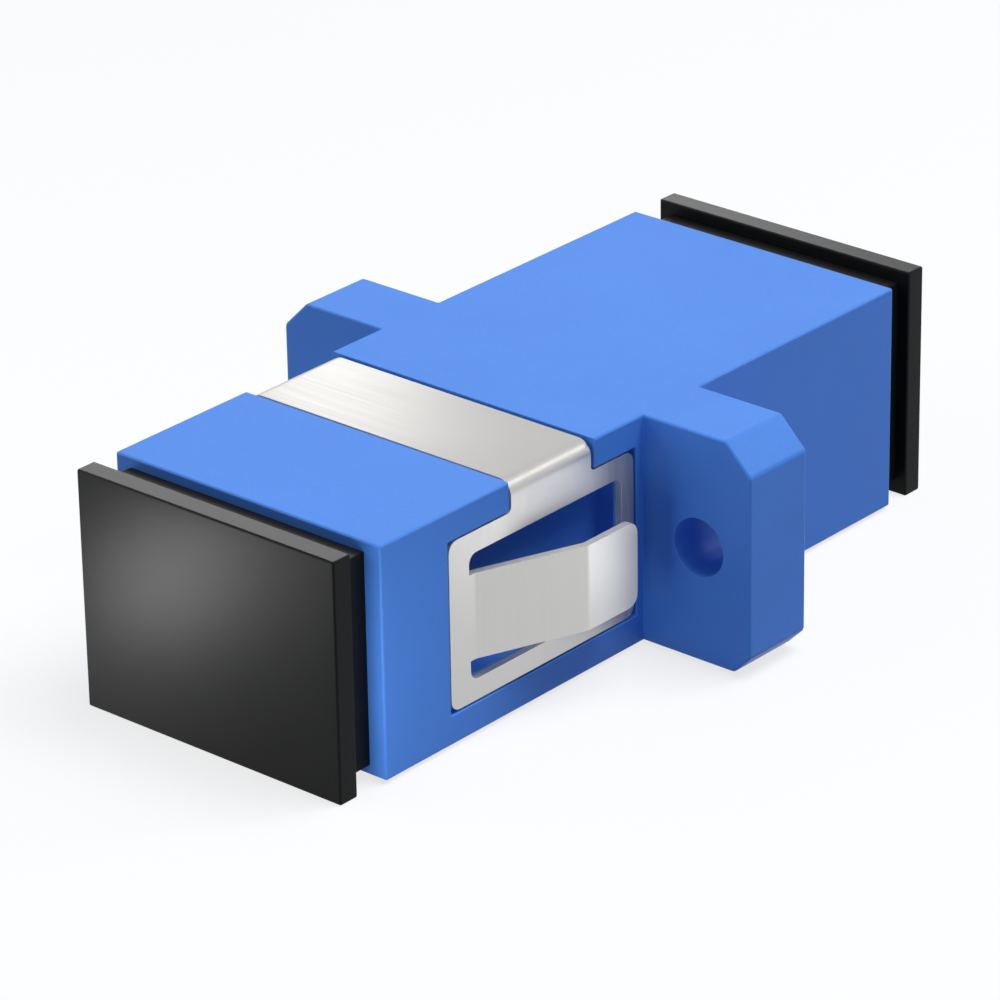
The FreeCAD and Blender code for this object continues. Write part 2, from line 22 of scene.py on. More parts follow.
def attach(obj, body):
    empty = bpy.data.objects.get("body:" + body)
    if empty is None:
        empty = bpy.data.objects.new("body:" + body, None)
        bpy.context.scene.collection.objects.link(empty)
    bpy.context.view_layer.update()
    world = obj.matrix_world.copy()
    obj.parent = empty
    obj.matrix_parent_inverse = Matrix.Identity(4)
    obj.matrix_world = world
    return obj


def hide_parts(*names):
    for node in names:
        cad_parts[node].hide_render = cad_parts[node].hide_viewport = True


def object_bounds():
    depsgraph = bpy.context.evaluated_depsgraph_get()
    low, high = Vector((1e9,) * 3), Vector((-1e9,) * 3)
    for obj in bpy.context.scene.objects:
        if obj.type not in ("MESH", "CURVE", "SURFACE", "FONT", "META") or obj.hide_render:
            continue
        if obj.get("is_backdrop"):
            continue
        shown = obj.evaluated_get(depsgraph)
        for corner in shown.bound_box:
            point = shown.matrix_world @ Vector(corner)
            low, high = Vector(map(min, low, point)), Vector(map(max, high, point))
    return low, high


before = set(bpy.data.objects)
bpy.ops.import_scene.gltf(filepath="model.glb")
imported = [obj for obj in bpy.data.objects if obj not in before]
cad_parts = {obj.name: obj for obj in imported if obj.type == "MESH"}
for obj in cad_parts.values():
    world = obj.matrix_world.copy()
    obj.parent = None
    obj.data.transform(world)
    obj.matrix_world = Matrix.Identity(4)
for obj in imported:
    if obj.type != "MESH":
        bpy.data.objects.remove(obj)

LOG = logging.getLogger("adapter")
ALONG_X, ALONG_Y, ALONG_Z = Vector((1, 0, 0)), Vector((0, 1, 0)), Vector((0, 0, 1))
MM = 0.001
# Points of a drawing that are nearer than this count as one.
NEAR_MM = 1e-4
# Faces that turn by less than this run into each other without an edge.
CREASE = math.radians(35)
# A face looks one way when its normal's share in that way is larger than this.
FACING = 0.999
# Nearly all values of a noise texture lie between these two.
NOISE_RANGE = (0.3, 0.7)


class End(Enum):
    """The two ends of the adapter: the clip's and the plain one."""

    FRONT = "front"
    REAR = "rear"


def linear(hex_colour: str) -> tuple[float, float, float, float]:
    """Turn an sRGB hex colour into linear red, green, blue and alpha.

    Args:
        hex_colour: six hex digits after a number sign.

    Returns:
        The linear colour with an alpha of one.
    """
    channels = [int(hex_colour[start : start + 2], 16) / 255 for start in (1, 3, 5)]
    red, green, blue = (
        value / 12.92 if value <= 0.04045 else ((value + 0.055) / 1.055) ** 2.4
        for value in channels
    )
    return red, green, blue, 1.0


def add_node(
    tree: bpy.types.NodeTree,
    kind: str,
    settings: dict[Any, Any] | None = None,
    links: dict[Any, bpy.types.NodeSocket] | None = None,
) -> bpy.types.Node:
    """Add a shader node with its settings and the links into it.

    Args:
        tree: node tree that takes the node.
        kind: type name of the node.
        settings: values by property name, or by the name or number of an input.
        links: sockets that feed the node's inputs, by the input's name or number.

    Returns:
        The new node.
    """
    node = tree.nodes.new(kind)
    for name, value in (settings or {}).items():
        if isinstance(name, int) or name in node.inputs:
            node.inputs[name].default_value = value
        else:
            setattr(node, name, value)
    for name, source in (links or {}).items():
        tree.links.new(source, node.inputs[name])
    return node


def new_material(name: str) -> tuple[bpy.types.Material, bpy.types.NodeTree]:
    """Make a node material with nothing in it.

    Args:
        name: name of the material.

    Returns:
        The material and its node tree.
    """
    material = bpy.data.materials.new(name)
    material.use_nodes = True
    material.node_tree.nodes.clear()
    return material, material.node_tree


def spread(value: float, by: float) -> dict[str, float]:
    """Settings of a Map Range node that turns a noise's usual range into value +- by."""
    low, high = NOISE_RANGE
    return {"From Min": low, "From Max": high, "To Min": value - by, "To Max": value + by}


@dataclass(frozen=True, kw_only=True)
class Finish:
    """What every finish has: a colour, a gloss and a relief too fine to model.

    The noise of each kind of finish shades its colour by +- shade and varies its roughness
    by +- roughness_spread.
    """

    name: str
    colour: str
    shade: float
    roughness: float
    roughness_spread: float
    relief_mm: float
    ior: float = 1.5

    def coat(
        self,
        tree: bpy.types.NodeTree,
        tone: bpy.types.NodeSocket,
        texture: bpy.types.NodeSocket,
        settings: dict[str, float],
    ) -> None:
        """Add the surface to a material whose noise is there.

        Args:
            tree: node tree of the material.
            tone: noise that shades the colour.
            texture: noise that varies the roughness and makes the relief.
            settings: values of the surface's other inputs.
        """
        tint = add_node(tree, "ShaderNodeMapRange", spread(1.0, self.shade), {"Value": tone})
        colour = add_node(
            tree,
            "ShaderNodeHueSaturation",
            {"Color": linear(self.colour)},
            {"Value": tint.outputs["Result"]},
        )
        gloss = add_node(
            tree,
            "ShaderNodeMapRange",
            spread(self.roughness, self.roughness_spread),
            {"Value": texture},
        )
        relief = add_node(
            tree, "ShaderNodeBump", {"Distance": self.relief_mm * MM}, {"Height": texture}
        )
        surface = add_node(
            tree,
            "ShaderNodeBsdfPrincipled",
            {"IOR": self.ior, **settings},
            {
                "Base Color": colour.outputs["Color"],
                "Roughness": gloss.outputs["Result"],
                "Normal": relief.outputs["Normal"],
            },
        )
        add_node(tree, "ShaderNodeOutputMaterial", links={"Surface": surface.outputs["BSDF"]})


@dataclass(frozen=True, kw_only=True)
class Moulded(Finish):
    """Injection-moulded plastic, whose skin copies the spark-eroded grain of its mould.

    The grain breaks up the gloss into a soft satin, and the pigment flows a little unevenly.
    """

    specular: float
    grain_mm: float
    flow_mm: float

    def make(self) -> bpy.types.Material:
        """Build the material.

        Returns:
            The finished material.
        """
        material, tree = new_material(self.name)
        place = add_node(tree, "ShaderNodeTexCoord").outputs["Object"]
        flow = add_node(
            tree,
            "ShaderNodeTexNoise",
            {"Scale": 1 / (self.flow_mm * MM), "Detail": 3.0, "Distortion": 0.6},
            {"Vector": place},
        )
        grain = add_node(
            tree,
            "ShaderNodeTexNoise",
            {"Scale": 1 / (self.grain_mm * MM), "Detail": 2.0, "Roughness": 0.6},
            {"Vector": place},
        )
        skin = {"Specular IOR Level": self.specular}
        self.coat(tree, flow.outputs["Fac"], grain.outputs["Fac"], skin)
        return material


@dataclass(frozen=True, kw_only=True)
class Lined(Finish):
    """A hard surface with fine straight lines across Y, as rolling or grinding leaves them.

    The lines stretch a highlight across themselves and give a bare metal its silky look.
    """

    metallic: float
    line_mm: float
    line_length_mm: float

    def make(self) -> bpy.types.Material:
        """Build the material.

        Returns:
            The finished material.
        """
        material, tree = new_material(self.name)
        place = add_node(tree, "ShaderNodeTexCoord").outputs["Object"]
        along, across = 1 / (self.line_length_mm * MM), 1 / (self.line_mm * MM)
        stretched = add_node(
            tree, "ShaderNodeMapping", {"Scale": (along, across, along)}, {"Vector": place}
        )
        lines = add_node(
            tree,
            "ShaderNodeTexNoise",
            {"Scale": 1.0, "Detail": 3.0, "Roughness": 0.6},
            {"Vector": stretched.outputs["Vector"]},
        )
        metal = {"Metallic": self.metallic}
        self.coat(tree, lines.outputs["Fac"], lines.outputs["Fac"], metal)
        return material


# PBT filled with blue pigment and moulded: an even, strong blue with a low satin gloss. The
# real grain of its mould is about 0.05 mm, and is drawn coarser, so that it shows.
BLUE_PBT = Moulded(
    name="moulded_blue_pbt",
    colour="#508AE2",
    shade=0.025,
    flow_mm=5.0,
    roughness=0.42,
    roughness_spread=0.06,
    ior=1.57,
    specular=0.18,
    grain_mm=0.16,
    relief_mm=0.0016,
)
# PBT without pigment: a warm off-white, and duller. Its grain is drawn coarser too.
NATURAL_PBT = Moulded(
    name="moulded_natural_pbt",
    colour="#DAD6C6",
    shade=0.03,
    flow_mm=3.0,
    roughness=0.5,
    roughness_spread=0.06,
    ior=1.57,
    specular=0.28,
    grain_mm=0.16,
    relief_mm=0.001,
)
# Soft polyethylene with carbon black, moulded: a waxy, even black on which a light fades
# slowly. Its grain is shallow, and drawn only a little coarser than the real one.
BLACK_PE = Moulded(
    name="moulded_black_polyethylene",
    colour="#141414",
    shade=0.08,
    flow_mm=4.0,
    roughness=0.48,
    roughness_spread=0.02,
    ior=1.51,
    specular=0.1,
    grain_mm=0.07,
    relief_mm=0.00025,
)
# Spring steel, cold rolled: a silky mid grey. The real lines lie a few hundredths of a
# millimetre apart along the strip, and are drawn a little coarser, so that they show.
ROLLED_STEEL = Lined(
    name="rolled_spring_steel",
    colour="#C1C0BE",
    shade=0.03,
    metallic=1.0,
    roughness=0.43,
    roughness_spread=0.05,
    line_mm=0.06,
    line_length_mm=9.0,
    relief_mm=0.0003,
)
# Spring steel, sheared: dull edges with steep little tear lines, which scatter the light
# more than a bare metal does.
SHEARED_STEEL = Lined(
    name="sheared_spring_steel",
    colour="#D2D0CC",
    shade=0.08,
    metallic=0.7,
    roughness=0.6,
    roughness_spread=0.05,
    line_mm=0.08,
    line_length_mm=0.6,
    relief_mm=0.001,
)
# Zirconia, fired and ground: ivory, with a sharp hard gloss. Its grinding lines are far
# finer than these, which are drawn coarse enough to show.
GROUND_ZIRCONIA = Lined(
    name="ground_zirconia",
    colour="#ECEAE2",
    shade=0.01,
    metallic=0.0,
    roughness=0.2,
    roughness_spread=0.05,
    ior=2.15,
    line_mm=0.07,
    line_length_mm=4.0,
    relief_mm=0.0002,
)


def find_faces(shape: BMesh, way: Vector) -> list[BMFace]:
    """Find the faces of a bmesh that look one way."""
    shape.normal_update()
    return [face for face in shape.faces if face.normal.dot(way) > FACING]


def cut_across(shape: BMesh, axis: Vector, places: Iterable[float]) -> None:
    """Cut every face that crosses one of the planes square to an axis.

    Args:
        shape: bmesh to cut.
        axis: direction square to the planes.
        places: distances of the planes from the origin.
    """
    for place in places:
        bmesh.ops.bisect_plane(
            shape,
            geom=[*shape.verts, *shape.edges, *shape.faces],
            dist=NEAR_MM,
            plane_co=axis * place,
            plane_no=axis,
        )


def bevel(
    shape: BMesh,
    parts: list[BMEdge] | list[BMVert],
    width: float,
    steps: int,
    affect: str = "EDGES",
) -> None:
    """Bevel edges of a shape, or corners of a flat one.

    Args:
        shape: bmesh that has them.
        parts: edges or vertices to bevel.
        width: distance from them at which the bevel starts.
        steps: one for a flat bevel, several for a rounding.
        affect: EDGES or VERTICES, as the parts are.
    """
    bmesh.ops.bevel(
        shape,
        geom=parts,
        offset=width,
        segments=steps,
        profile=0.5,
        affect=affect,
        material=-1,
    )


def fold(
    verts: Iterable[BMVert],
    hinge: Vector,
    along: Vector,
    towards: Vector,
    radius: float,
    angle: float,
) -> None:
    """Roll what lies beyond a bend line round a cylinder.

    Args:
        verts: vertices of the sheet that the fold may move.
        hinge: point where the bend starts.
        along: way across the bend line, in the sheet.
        towards: way that the sheet turns.
        radius: radius of the drawn face in the bend.
        angle: how far the sheet turns, in radians.
    """
    for vert in verts:
        run = (vert.co - hinge).dot(along)
        if run <= 0:
            continue
        height = (vert.co - hinge).dot(towards)
        turned = min(run / radius, angle)
        forwards = along * math.cos(turned) + towards * math.sin(turned)
        upwards = towards * math.cos(turned) - along * math.sin(turned)
        centre = towards * radius
        place = centre - upwards * (radius - height) + forwards * (run - radius * turned)
        vert.co += place - along * run - towards * height


def finish_piece(
    name: str, shape: BMesh, materials: Sequence[bpy.types.Material]
) -> bpy.types.Object:
    """Turn a bmesh in millimetres into an object in metres, smooth but for its creases.

    Args:
        name: name of the piece.
        shape: finished bmesh, which is freed.
        materials: materials of the piece's slots.

    Returns:
        The new object, at the origin.
    """
    bmesh.ops.scale(shape, vec=(MM, MM, MM), verts=shape.verts)
    for face in shape.faces:
        face.smooth = True
    for edge in shape.edges:
        edge.smooth = edge.calc_face_angle(0.0) < CREASE
    mesh = bpy.data.meshes.new(name)
    shape.to_mesh(mesh)
    shape.free()
    for material in materials:
        mesh.materials.append(material)
    piece = bpy.data.objects.new(name, mesh)
    bpy.context.scene.collection.objects.link(piece)
    return piece


def round_edges(piece: bpy.types.Object, width_mm: float, steps: int = 2) -> None:
    """Round every sharp edge of a piece with a modifier.

    Args:
        piece: object to finish.
        width_mm: width of the rounding.
        steps: faces across it.
    """
    edge = piece.modifiers.new("edges", "BEVEL")
    edge.width = width_mm * MM
    edge.segments = steps
    edge.limit_method = "ANGLE"
    edge.angle_limit = CREASE
    edge.harden_normals = True
    edge.miter_outer = "MITER_ARC"


@dataclass
class SolidPiece:
    """A piece whose solid already has its shape: it gets its finish and softened edges.

    Its loose triangles are joined, and the flat ones merged, so that only real edges are left.
    """

    node: str
    finish: Moulded | Lined
    edge_mm: float
    join_mm: float = 0.001
    flat_degrees: float = 0.5

    def build(self) -> bpy.types.Object:
        """Put the finish on the solid and take the sharpness off its edges.

        Returns:
            The solid's own object.
        """
        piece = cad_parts[self.node]
        piece.material_slots[0].material = self.finish.make()
        weld = piece.modifiers.new("weld", "WELD")
        weld.merge_threshold = self.join_mm * MM
        flat = piece.modifiers.new("flat_faces", "DECIMATE")
        flat.decimate_type = "DISSOLVE"
        flat.angle_limit = math.radians(self.flat_degrees)
        round_edges(piece, self.edge_mm)
        return piece


@dataclass
class PanelClip:
    """Spring clip, blanked flat from steel strip, pierced and folded over the housing.

    The drawn face is the outer one. The blank lies in the XY plane, with its middle at X
    zero, and the strip's wall is added inwards when it is folded. The strap, the frame and
    the window are given by their front and rear along Y. The strap is 0.09 mm narrower in
    front and 0.06 mm behind than the solid's, so that the dark gaps beside it show.
    """

    sheet_mm: float = 0.3
    half_width_mm: float = 6.35
    top_mm: float = 4.55
    bend_mm: float = 0.6
    bend_steps: int = 8
    strap_mm: tuple[float, float] = (-7.36, -2.91)
    frame_mm: tuple[float, float] = (-10.78, -0.5)
    frame_half_height_mm: float = 3.35
    frame_corner_mm: float = 0.45
    neck_corner_mm: float = 0.2
    window_mm: tuple[float, float] = (-9.7, -1.2)
    window_half_height_mm: float = 2.5
    window_corner_mm: float = 0.4
    tongue_half_height_mm: float = 1.7
    tongue_corner_mm: float = 0.5
    tongue_start_mm: float = -9.4
    tongue_ramp_mm: float = 4.3
    tongue_rise_mm: float = 1.7
    tongue_tip_mm: float = -2.35
    tongue_bends_mm: tuple[float, float] = (0.3, 0.6)
    tongue_bend_steps: int = 4
    corner_steps: int = 5
    edge_mm: float = 0.035

    def on_strip(self, level: float) -> float:
        """Distance along the flat strip, from its middle, of a level on a leg."""
        fold_end = self.half_width_mm - self.bend_mm + self.bend_mm * math.pi / 2
        return fold_end + self.top_mm - self.bend_mm - level

    def draw_outline(self, shape: BMesh, corners: Sequence[tuple[float, float, float]]) -> None:
        """Draw a closed outline with rounded corners.

        Args:
            shape: bmesh that takes its edges.
            corners: X, Y and radius of each corner.
        """
        verts = [shape.verts.new((across, along, 0)) for across, along, _ in corners]
        shape.faces.new(verts)
        for radius in sorted({radius for *_, radius in corners if radius}):
            picked = [vert for vert, corner in zip(verts, corners) if corner[2] == radius]
            bevel(shape, picked, radius, self.corner_steps, affect="VERTICES")

    def blank(self) -> BMesh:
        """Punch one half of the flat blank, from the middle of the strap to the foot.

        Returns:
            The flat half, with the slot round its tongue.
        """
        neck = self.on_strip(self.frame_half_height_mm)
        foot = self.on_strip(-self.frame_half_height_mm)
        slot_top = self.on_strip(self.window_half_height_mm)
        slot_foot = self.on_strip(-self.window_half_height_mm)
        tongue_top = self.on_strip(self.tongue_half_height_mm)
        tongue_foot = self.on_strip(-self.tongue_half_height_mm)
        (strap_front, strap_back), (front, back) = self.strap_mm, self.frame_mm
        slot_front, slot_back = self.window_mm
        tip = self.tongue_bend_starts()[1] + self.tongue_end_run()
        shape = bmesh.new()
        self.draw_outline(
            shape,
            [
                (0, strap_front, 0),
                (neck, strap_front, self.neck_corner_mm),
                (neck, front, self.frame_corner_mm),
                (foot, front, self.frame_corner_mm),
                (foot, back, self.frame_corner_mm),
                (neck, back, self.frame_corner_mm),
                (neck, strap_back, self.neck_corner_mm),
                (0, strap_back, 0),
            ],
        )
        self.draw_outline(
            shape,
            [
                (slot_top, slot_front, self.window_corner_mm),
                (tongue_top, slot_front, 0),
                (tongue_top, tip, self.tongue_corner_mm),
                (tongue_foot, tip, self.tongue_corner_mm),
                (tongue_foot, slot_front, 0),
                (slot_foot, slot_front, self.window_corner_mm),
                (slot_foot, slot_back, self.window_corner_mm),
                (slot_top, slot_back, self.window_corner_mm),
            ],
        )
        # The outlines lose their own faces, and one sheet fills what lies between them.
        bmesh.ops.delete(shape, geom=shape.faces[:], context="FACES_ONLY")
        bmesh.ops.triangle_fill(shape, use_beauty=True, edges=shape.edges[:], normal=ALONG_Z)
        return shape

    def tongue_angle(self) -> float:
        """Angle of the tongue's ramp."""
        return math.atan2(self.tongue_rise_mm, self.tongue_ramp_mm)

    def tongue_bend_starts(self) -> tuple[float, float]:
        """Work out where the tongue's two bends start on the flat blank.

        Returns:
            Their places along Y.
        """
        near, far = self.tongue_bends_mm
        angle = self.tongue_angle()
        start = self.tongue_start_mm - near * math.tan(angle / 2)
        ramp = math.hypot(self.tongue_ramp_mm, self.tongue_rise_mm)
        straight = ramp - (near + far) * math.tan(angle / 2)
        return start, start + near * angle + straight

    def tongue_end_run(self) -> float:
        """Work out how far the tongue's tip lies from the start of its second bend.

        Returns:
            The length on the flat blank.
        """
        far = self.tongue_bends_mm[1]
        angle = self.tongue_angle()
        ramp_end = self.tongue_start_mm + self.tongue_ramp_mm
        return far * angle + self.tongue_tip_mm - ramp_end - far * math.tan(angle / 2)

    def form_tongue(self, shape: BMesh) -> None:
        """Bend the tongue outwards, and back at the end of its ramp.

        Args:
            shape: flat half of the blank.
        """
        near, far = self.tongue_bends_mm
        first, second = self.tongue_bend_starts()
        angle = self.tongue_angle()
        tip = second + self.tongue_end_run() + NEAR_MM
        top = self.on_strip(self.tongue_half_height_mm) - NEAR_MM
        foot = self.on_strip(-self.tongue_half_height_mm) + NEAR_MM
        steps = self.tongue_bend_steps
        for start, radius in ((first, near), (second, far)):
            step = radius * angle / steps
            cut_across(shape, ALONG_Y, (start + step * n for n in range(steps + 1)))
        tongue = [vert for vert in shape.verts if top < vert.co.x < foot and vert.co.y < tip]
        fold(tongue, ALONG_Y * second, ALONG_Y, -ALONG_Z, far, angle)
        fold(tongue, ALONG_Y * first, ALONG_Y, ALONG_Z, near, angle)

    def build(self) -> bpy.types.Object:
        """Blank, pierce and fold the clip.

        Returns:
            The finished clip.
        """
        shape = self.blank()
        self.form_tongue(shape)
        start = self.half_width_mm - self.bend_mm
        step = self.bend_mm * math.pi / 2 / self.bend_steps
        cut_across(shape, ALONG_X, (start + step * n for n in range(self.bend_steps + 1)))
        fold(shape.verts, ALONG_X * start, ALONG_X, -ALONG_Z, self.bend_mm, math.pi / 2)
        bmesh.ops.translate(shape, vec=ALONG_Z * self.top_mm, verts=shape.verts)
        bmesh.ops.mirror(
            shape,
            geom=[*shape.verts, *shape.edges, *shape.faces],
            axis="X",
            merge_dist=NEAR_MM,
        )
        bmesh.ops.recalc_face_normals(shape, faces=shape.faces[:])
        # An open sheet may come out inside out, and its wall grows behind its faces.
        if not find_faces(shape, ALONG_Z):
            bmesh.ops.reverse_faces(shape, faces=shape.faces[:])
        clip = finish_piece("spring_clip", shape, [ROLLED_STEEL.make(), SHEARED_STEEL.make()])
        wall = clip.modifiers.new("wall", "SOLIDIFY")
        wall.thickness = self.sheet_mm * MM
        wall.offset = -1
        wall.use_even_offset = True
        wall.material_offset_rim = 1
        round_edges(clip, self.edge_mm)
        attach(clip, "adapter")
        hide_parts("panel_clip")
        return clip


@dataclass
class DustCap:
    """Moulded dust cap: a cover plate, a collar against the mouth and a hollow stem.

    It is drawn with the mouth's rim at Y zero and its plate along -Y. As it cools, its
    plate shrinks a little hollow, which gathers the light in a soft round patch.
    """

    end: End
    mouth_mm: float
    plate_mm: tuple[float, float] = (12.4, 9.5)
    plate_thickness_mm: float = 0.9
    plate_edge_mm: float = 0.08
    plate_edge_steps: int = 4
    hollow_margin_mm: float = 0.3
    hollow_depth_mm: float = 0.06
    hollow_cuts: int = 15
    collar_mm: tuple[float, float] = (11.3, 8.4)
    collar_length_mm: float = 1.3
    collar_edge_mm: float = 0.05
    collar_edge_steps: int = 3
    stem_mm: tuple[float, float] = (8.95, 7.35)
    stem_length_mm: float = 5.2
    stem_wall_mm: float = 0.65
    stem_corner_mm: float = 0.3
    stem_corner_steps: int = 5
    stem_lead_in_mm: float = 0.25

    @staticmethod
    def find_end(shape: BMesh) -> BMFace:
        """Find the face that ends the cap on the port's side."""
        return max(find_faces(shape, ALONG_Y), key=lambda face: face.verts[0].co.y)

    @staticmethod
    def find_corners(shape: BMesh, size: tuple[float, float]) -> list[BMEdge]:
        """Find the four edges along Y at the corners of a step.

        Args:
            shape: bmesh of the cap.
            size: width and height of the step.

        Returns:
            The edges found.
        """
        found = []
        for edge in shape.edges:
            near, far = (vert.co for vert in edge.verts)
            off_corner = math.hypot(abs(near.x) - size[0] / 2, abs(near.z) - size[1] / 2)
            drift = math.hypot(near.x - far.x, near.z - far.z)
            if max(off_corner, drift) < NEAR_MM:
                found.append(edge)
        return found

    @staticmethod
    def find_rim(shape: BMesh, inner: tuple[float, float], level: float) -> list[BMEdge]:
        """Find the creases at one level along Y that lie beyond an inner rectangle.

        Args:
            shape: bmesh of the cap.
            inner: width and height of the rectangle.
            level: their place along Y.

        Returns:
            The edges found.
        """
        return [
            edge
            for edge in shape.edges
            if edge.calc_face_angle() > CREASE
            and all(
                abs(vert.co.y - level) < NEAR_MM
                and (
                    abs(vert.co.x) > inner[0] / 2 + NEAR_MM
                    or abs(vert.co.z) > inner[1] / 2 + NEAR_MM
                )
                for vert in edge.verts
            )
        ]

    def raise_step(self, shape: BMesh, size: tuple[float, float], length: float) -> None:
        """Draw a smaller copy of the end face on it and push that along Y.

        Args:
            shape: bmesh of the cap.
            size: width and height of the copy.
            length: how far it is pushed along Y.
        """
        face = self.find_end(shape)
        # The inset only makes the copy, and the scale gives it its size.
        bmesh.ops.inset_individual(shape, faces=[face], thickness=NEAR_MM)
        width = max(vert.co.x for vert in face.verts) * 2
        height = max(vert.co.z for vert in face.verts) * 2
        bmesh.ops.scale(shape, vec=(size[0] / width, 1, size[1] / height), verts=face.verts)
        pushed = bmesh.ops.extrude_discrete_faces(shape, faces=[face])["faces"][0]
        bmesh.ops.translate(shape, vec=ALONG_Y * length, verts=pushed.verts)

    def hollow_plate(self, shape: BMesh) -> None:
        """Sink the middle of the cover plate's face.

        Args:
            shape: bmesh of the cap.
        """
        face = find_faces(shape, -ALONG_Y)[0]
        bmesh.ops.inset_individual(shape, faces=[face], thickness=self.hollow_margin_mm)
        half_width = max(vert.co.x for vert in face.verts)
        half_height = max(vert.co.z for vert in face.verts)
        middle = bmesh.ops.subdivide_edges(
            shape, edges=face.edges[:], cuts=self.hollow_cuts, use_grid_fill=True
        )["geom_inner"]
        for vert in (part for part in middle if isinstance(part, BMVert)):
            across, upwards = vert.co.x / half_width, vert.co.z / half_height
            vert.co.y += self.hollow_depth_mm * max(0, 1 - across**2) * max(0, 1 - upwards**2)

    def mould(self) -> BMesh:
        """Draw the cap's steps, round them and hollow the plate and the stem.

        Returns:
            The cap, with the mouth's rim at Y zero.
        """
        shape = bmesh.new()
        bmesh.ops.create_cube(shape, size=1)
        size = (self.plate_mm[0], self.plate_thickness_mm, self.plate_mm[1])
        bmesh.ops.scale(shape, vec=size, verts=shape.verts)
        shoulder = -self.collar_length_mm
        level = shoulder - self.plate_thickness_mm / 2
        bmesh.ops.translate(shape, vec=ALONG_Y * level, verts=shape.verts)
        self.raise_step(shape, self.collar_mm, self.collar_length_mm)
        self.raise_step(shape, self.stem_mm, self.stem_length_mm)
        stem = self.find_corners(shape, self.stem_mm)
        bevel(shape, stem, self.stem_corner_mm, self.stem_corner_steps)
        bevel(shape, self.find_end(shape).edges[:], self.stem_lead_in_mm, steps=1)
        hollow = (
            self.stem_mm[0] - 2 * self.stem_wall_mm,
            self.stem_mm[1] - 2 * self.stem_wall_mm,
        )
        self.raise_step(shape, hollow, shoulder - self.stem_length_mm)
        collar = [
            *self.find_corners(shape, self.collar_mm),
            *self.find_rim(shape, self.stem_mm, 0),
        ]
        bevel(shape, collar, self.collar_edge_mm, self.collar_edge_steps)
        plate = [
            *self.find_corners(shape, self.plate_mm),
            *self.find_rim(shape, self.collar_mm, shoulder),
            *self.find_rim(shape, self.collar_mm, shoulder - self.plate_thickness_mm),
        ]
        bevel(shape, plate, self.plate_edge_mm, self.plate_edge_steps)
        self.hollow_plate(shape)
        return shape

    def build(self) -> bpy.types.Object:
        """Mould the cap and put it on its port.

        Returns:
            The finished cap.
        """
        shape = self.mould()
        if self.end is End.REAR:
            half_turn = Matrix.Rotation(math.pi, 3, "Z")
            bmesh.ops.rotate(shape, matrix=half_turn, verts=shape.verts)
        bmesh.ops.translate(shape, vec=ALONG_Y * self.mouth_mm, verts=shape.verts)
        name = self.end.value
        cap = finish_piece(f"{name}_cap", shape, [BLACK_PE.make()])
        flat = cap.modifiers.new("flat_faces", "WEIGHTED_NORMAL")
        flat.keep_sharp = True
        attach(cap, f"{name}_cap")
        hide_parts(f"dust_cap_{name}")
        return cap


@dataclass(frozen=True)
class Softbox:
    """A square lamp that faces a point of the adapter.

    A lamp that stands near one piece lights only the pieces that it names, so that it
    doesn't spill over the rest. A lamp that isn't mirrored leaves the steel its own grey.
    """

    name: str
    place_mm: tuple[float, float, float]
    aim_mm: tuple[float, float, float]
    side_mm: float
    watts: float
    lights_only: tuple[str, ...] = ()
    mirrored: bool = True

    def hang(self, pieces: dict[str, bpy.types.Object]) -> None:
        """Put the lamp in the scene, hidden from the camera itself.

        Args:
            pieces: pieces of the adapter by name.
        """
        data = bpy.data.lights.new(self.name, "AREA")
        data.size = self.side_mm * MM
        data.energy = self.watts
        lamp = bpy.data.objects.new(self.name, data)
        way = Vector(self.aim_mm) - Vector(self.place_mm)
        lamp.location = Vector(self.place_mm) * MM
        lamp.rotation_mode = "QUATERNION"
        lamp.rotation_quaternion = way.to_track_quat("-Z", "Y")
        lamp.visible_camera = False
        lamp.visible_glossy = self.mirrored
        bpy.context.scene.collection.objects.link(lamp)
        if self.lights_only:
            lit = bpy.data.collections.new(f"{self.name}_lights")
            for name in self.lights_only:
                lit.objects.link(pieces[name])
            lamp.light_linking.receiver_collection = lit


